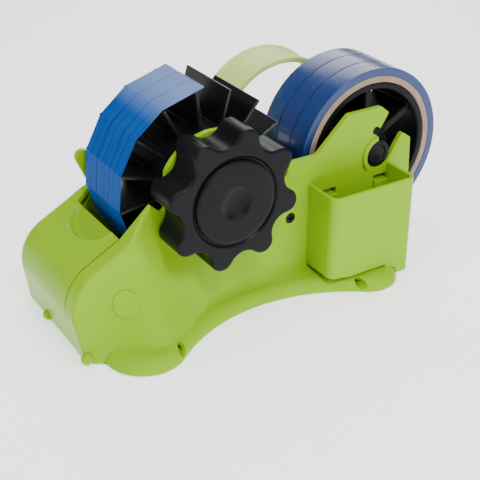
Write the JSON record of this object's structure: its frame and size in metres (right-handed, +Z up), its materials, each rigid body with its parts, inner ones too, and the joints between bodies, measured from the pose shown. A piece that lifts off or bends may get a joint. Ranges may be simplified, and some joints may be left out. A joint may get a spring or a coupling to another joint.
{
  "type": "multi-roll tape dispenser",
  "caption": "Green desk tape dispenser with a finned drum turned by a side knob, a lift-out spool of tape rolls, a toothed cutter in the nose, a side pocket and a hand loop.",
  "frame": {"origin": "on the table, under the middle of the object's box", "axes": "+X from the nose to the spool, +Y from the knob side to the hand-loop side, +Z up"},
  "size_m": [0.233, 0.126, 0.1224],
  "materials": {
    "green_plastic": "satin moulded apple-green plastic",
    "black_plastic": "satin moulded black plastic",
    "steel": "plain bright steel",
    "blue_film": "glossy blue polyester tape",
    "core_card": "brown wound card",
    "rubber": "black rubber pad"
  },
  "bodies": {
    "body": {"right_shell": "green_plastic", "left_shell": "green_plastic", "shell_screws": "steel", "hand_loop": "green_plastic", "loop_screws": "steel", "foot_pads": "rubber", "guide_bar": "steel", "tape_web": "blue_film", "blade_pin": "steel", "blade_spring": "steel"},
    "drum": {"paddle_drum": "black_plastic", "drum_fins": "black_plastic", "drum_shaft": "steel", "turning_knob": "black_plastic", "knob_cap": "black_plastic", "knob_screw": "steel", "shaft_clip": "steel", "cut_tape": "blue_film"},
    "axle": {"spool_axle": "black_plastic", "axle_caps": "black_plastic"},
    "spool": {"spool_hub": "black_plastic", "tape_core_1": "core_card", "tape_core_2": "core_card", "tape_core_3": "core_card", "tape_roll_1": "blue_film", "tape_roll_2": "blue_film", "tape_roll_3": "blue_film"},
    "cutter": {"blade_arm": "black_plastic", "cutting_blade": "steel", "blade_clamp": "black_plastic", "blade_screws": "steel"},
    "pocket": {"side_pocket": "green_plastic"}
  },
  "joints": [
    {"name": "drum_turn", "type": "hinge", "parent": "body", "child": "drum", "pos_m": [-0.034, 0, 0.0725], "axis": [0, 1, 0], "continuous": true},
    {"name": "spool_lift", "type": "slide", "parent": "body", "child": "axle", "axis": [0.5446, 0, 0.8387], "range_m": [0, 0.045]},
    {"name": "spool_turn", "type": "hinge", "parent": "axle", "child": "spool", "pos_m": [0.0705, 0, 0.065], "axis": [0, 1, 0], "continuous": true},
    {"name": "cutter_swing", "type": "hinge", "parent": "body", "child": "cutter", "pos_m": [-0.0845, 0, 0.0203], "axis": [0, -1, 0], "range_deg": [0, 15], "stiffness_Nm_per_rad": 0.02, "springref_deg": -11.46},
    {"name": "pocket_lift", "type": "slide", "parent": "body", "child": "pocket", "axis": [0, 0, 1], "range_m": [0, 0.0028]}
  ],
  "couplings": [
    {"joint": "spool_turn", "follows": "drum_turn", "ratio": 1.0513}
  ]
}
